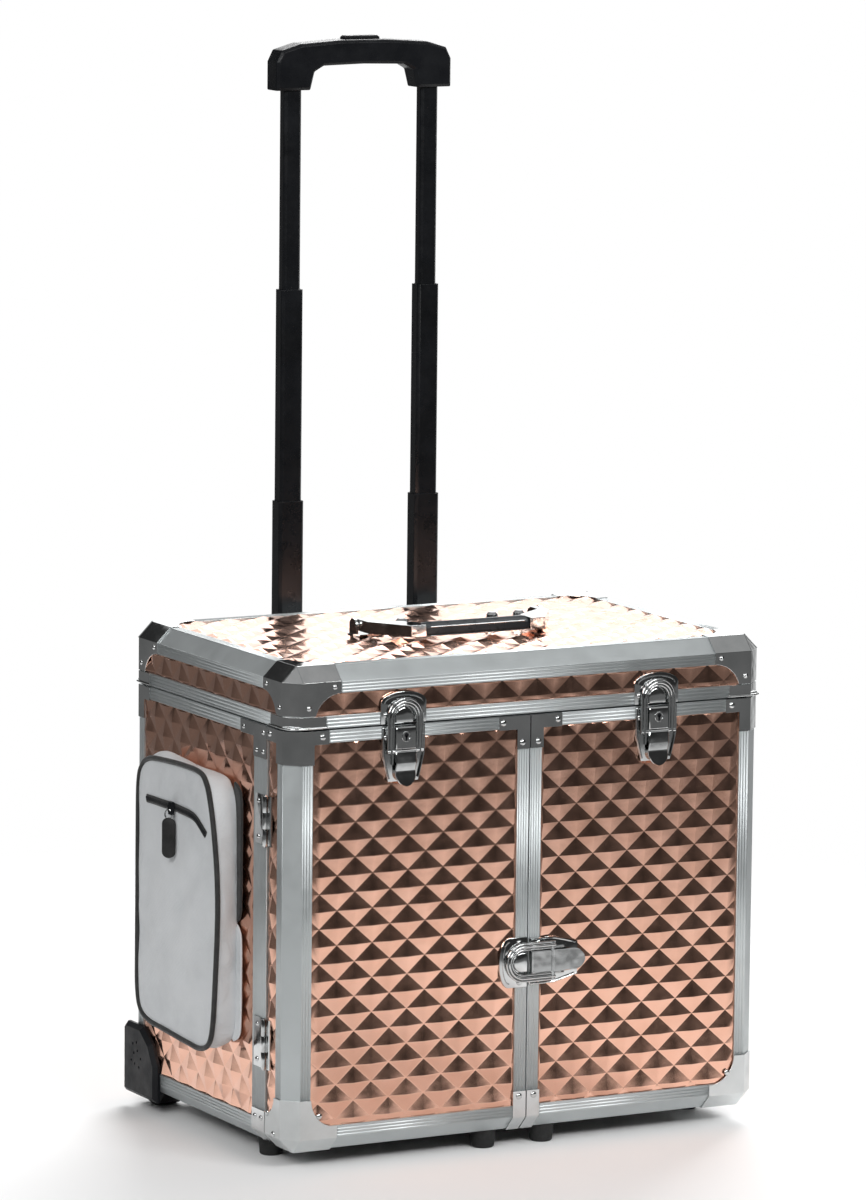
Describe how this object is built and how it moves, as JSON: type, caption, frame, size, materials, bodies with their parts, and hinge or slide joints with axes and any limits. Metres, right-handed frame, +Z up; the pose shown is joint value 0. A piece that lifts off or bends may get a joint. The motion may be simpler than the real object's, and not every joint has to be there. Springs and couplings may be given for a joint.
{
  "type": "makeup train case",
  "caption": "Rolling makeup case with a hinged lid, two front doors, draw latches, a three-stage trolley handle, corner wheels and a side bag.",
  "frame": {"origin": "centre of the whole part's width and depth, bag and trolley handle included, on the plane that its feet and wheels stand on", "axes": "+X right, +Y back, +Z up, seen from the front"},
  "size_m": [0.4882, 0.3384, 0.9173],
  "materials": {
    "lined_board": "black velour-lined plywood",
    "rose_sheet": "embossed metallised rose-gold ABS sheet, glossy",
    "satin_aluminium": "satin anodised, fine lengthwise grooves",
    "cast_corner": "matt cast",
    "chrome_plate": "polished plated steel",
    "black_rubber": "matt black",
    "wheel_rubber": "matt black",
    "black_plastic": "fine textured black",
    "steel_pin": "plain steel",
    "black_tube": "gloss black enamel",
    "grip_plastic": "black moulded plastic",
    "handle_grey": "dark grey moulded grip",
    "bag_fabric": "woven light grey nylon with black piping",
    "zip_black": "black"
  },
  "bodies": {
    "cabinet": {"cabinet_boards": "lined_board", "cabinet_skins": "rose_sheet", "bottom_rails": "satin_aluminium", "back_posts": "satin_aluminium", "top_rim": "satin_aluminium", "hinge_strips": "satin_aluminium", "body_brackets": "chrome_plate", "shelves": "lined_board", "front_feet": "black_rubber", "wheel_housings": "black_plastic", "wheel_axles": "steel_pin", "trolley_channels": "black_tube", "trolley_brackets": "grip_plastic", "body_hinges": "chrome_plate", "body_rivets": "chrome_plate", "side_bag": "bag_fabric"},
    "lid": {"lid_boards": "lined_board", "lid_skins": "rose_sheet", "lid_rails": "satin_aluminium", "lid_rim": "satin_aluminium", "lid_corner_caps": "chrome_plate", "lid_rim_corners": "chrome_plate", "lid_hinge_leaves": "chrome_plate", "lid_catches": "chrome_plate", "handle_brackets": "chrome_plate", "lid_rivets": "chrome_plate"},
    "carry_handle": {"carry_handle_grip": "handle_grey", "carry_handle_arms": "chrome_plate"},
    "right_door": {"right_door_boards": "lined_board", "right_door_skins": "rose_sheet", "right_door_frame": "satin_aluminium", "right_door_corner": "cast_corner", "right_door_brackets": "chrome_plate", "right_door_foot": "black_rubber", "right_latch_base": "chrome_plate", "door_latch_base": "chrome_plate"},
    "left_door": {"left_door_boards": "lined_board", "left_door_skins": "rose_sheet", "left_door_frame": "satin_aluminium", "left_door_corner": "cast_corner", "left_door_brackets": "chrome_plate", "left_door_foot": "black_rubber", "left_latch_base": "chrome_plate", "door_latch_catch": "chrome_plate"},
    "right_lever": {"right_latch_lever": "chrome_plate"},
    "right_loop": {"right_latch_loop": "chrome_plate"},
    "right_lock": {"right_latch_lock": "chrome_plate"},
    "left_lever": {"left_latch_lever": "chrome_plate"},
    "left_loop": {"left_latch_loop": "chrome_plate"},
    "left_lock": {"left_latch_lock": "chrome_plate"},
    "door_lever": {"door_latch_lever": "chrome_plate"},
    "door_loop": {"door_latch_loop": "chrome_plate"},
    "lower_stage": {"lower_tubes": "black_tube"},
    "middle_stage": {"middle_tubes": "black_tube"},
    "upper_stage": {"upper_tubes": "black_tube", "trolley_grip": "grip_plastic"},
    "release_button": {"release_button": "grip_plastic"},
    "right_wheel": {"right_wheel": "wheel_rubber"},
    "left_wheel": {"left_wheel": "wheel_rubber"},
    "zip_slider": {"zip_slider": "zip_black"}
  },
  "joints": [
    {"name": "lid_hinge", "type": "hinge", "parent": "cabinet", "child": "lid", "pos_m": [0.013, 0.136, 0.37075], "axis": [-1, 0, 0], "range_deg": [0, 19]},
    {"name": "handle_fold", "type": "hinge", "parent": "lid", "child": "carry_handle", "pos_m": [0.013, -0.014, 0.431], "axis": [-1, 0, 0], "range_deg": [0, 90]},
    {"name": "right_door_hinge", "type": "hinge", "parent": "cabinet", "child": "right_door", "pos_m": [0.2402, -0.1215, 0.19], "axis": [0, 0, 1], "range_deg": [0, 110]},
    {"name": "left_door_hinge", "type": "hinge", "parent": "cabinet", "child": "left_door", "pos_m": [-0.2142, -0.1215, 0.19], "axis": [0, 0, 1], "range_deg": [-110, 0]},
    {"name": "lower_slide", "type": "slide", "parent": "cabinet", "child": "lower_stage", "axis": [0, 0, 1], "range_m": [-0.15, 0]},
    {"name": "middle_slide", "type": "slide", "parent": "lower_stage", "child": "middle_stage", "axis": [0, 0, 1], "range_m": [-0.172, 0]},
    {"name": "upper_slide", "type": "slide", "parent": "middle_stage", "child": "upper_stage", "axis": [0, 0, 1], "range_m": [-0.15, 0]},
    {"name": "button_press", "type": "slide", "parent": "upper_stage", "child": "release_button", "axis": [0, 0, 1], "range_m": [-0.003, 0], "stiffness_N_per_m": 400, "springref_m": 0.001},
    {"name": "right_wheel_spin", "type": "hinge", "parent": "cabinet", "child": "right_wheel", "pos_m": [0.211, 0.126, 0.022], "axis": [1, 0, 0], "continuous": true},
    {"name": "left_wheel_spin", "type": "hinge", "parent": "cabinet", "child": "left_wheel", "pos_m": [-0.185, 0.126, 0.022], "axis": [1, 0, 0], "continuous": true},
    {"name": "zip_slide", "type": "slide", "parent": "cabinet", "child": "zip_slider", "axis": [0, 1, 0], "range_m": [-0.03, 0.046]},
    {"name": "right_lever_hinge", "type": "hinge", "parent": "right_door", "child": "right_lever", "pos_m": [0.1335, -0.1656, 0.367], "axis": [-1, 0, 0], "range_deg": [0, 120]},
    {"name": "right_loop_hinge", "type": "hinge", "parent": "right_lever", "child": "right_loop", "pos_m": [0.1335, -0.1662, 0.349], "axis": [-1, 0, 0], "range_deg": [-144, 0]},
    {"name": "right_lock_turn", "type": "hinge", "parent": "right_lever", "child": "right_lock", "pos_m": [0.1335, -0.1656, 0.359], "axis": [0, -1, 0], "range_deg": [0, 90]},
    {"name": "left_lever_hinge", "type": "hinge", "parent": "left_door", "child": "left_lever", "pos_m": [-0.1075, -0.1656, 0.367], "axis": [-1, 0, 0], "range_deg": [0, 120]},
    {"name": "left_loop_hinge", "type": "hinge", "parent": "left_lever", "child": "left_loop", "pos_m": [-0.1075, -0.1662, 0.349], "axis": [-1, 0, 0], "range_deg": [-144, 0]},
    {"name": "left_lock_turn", "type": "hinge", "parent": "left_lever", "child": "left_lock", "pos_m": [-0.1075, -0.1656, 0.359], "axis": [0, -1, 0], "range_deg": [0, 90]},
    {"name": "door_lever_hinge", "type": "hinge", "parent": "right_door", "child": "door_lever", "pos_m": [0.01675, -0.1656, 0.1605], "axis": [0, 0, -1], "range_deg": [0, 120]},
    {"name": "door_loop_hinge", "type": "hinge", "parent": "door_lever", "child": "door_loop", "pos_m": [0.03475, -0.1662, 0.1605], "axis": [0, 0, -1], "range_deg": [-144, 0]}
  ],
  "couplings": [
    {"joint": "left_door_hinge", "follows": "right_door_hinge", "ratio": -1},
    {"joint": "right_loop_hinge", "follows": "right_lever_hinge", "ratio": -1.2},
    {"joint": "left_loop_hinge", "follows": "left_lever_hinge", "ratio": -1.2},
    {"joint": "door_loop_hinge", "follows": "door_lever_hinge", "ratio": -1.2}
  ]
}
